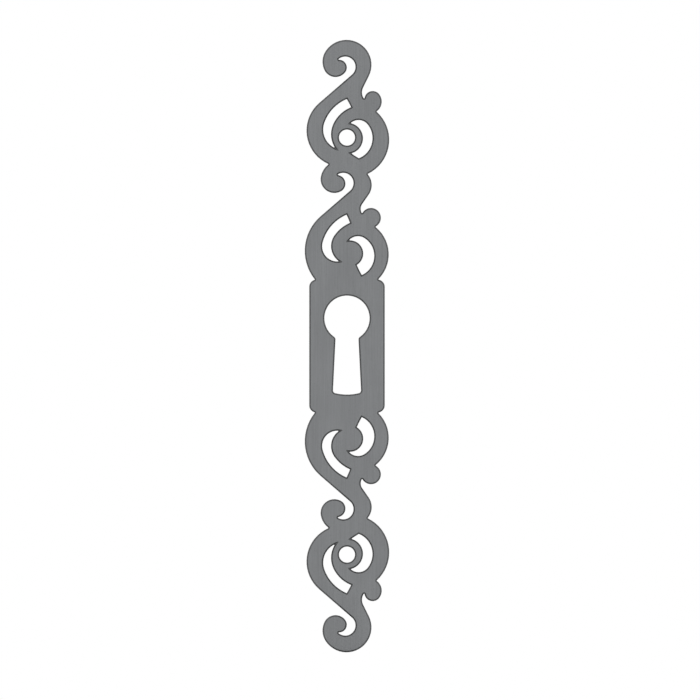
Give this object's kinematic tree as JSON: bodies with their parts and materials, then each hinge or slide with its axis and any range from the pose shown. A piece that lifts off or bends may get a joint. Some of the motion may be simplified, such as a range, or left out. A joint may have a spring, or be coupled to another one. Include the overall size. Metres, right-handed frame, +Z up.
{
  "type": "keyhole escutcheon",
  "caption": "Flat pierced steel keyhole plate with scroll-cut outline, a keyhole in a plain middle panel and a screw hole in each scrolled end.",
  "frame": {"origin": "midway between the two screw holes, on the back face that lies on the door", "axes": "+Z up along the plate's length, towards the keyhole's round end; -Y out of the front face, away from the door"},
  "size_m": [0.0168, 0.0015, 0.1224],
  "materials": {
    "steel": "satin"
  },
  "bodies": {
    "root": {"escutcheon_plate": "steel"}
  },
  "joints": []
}
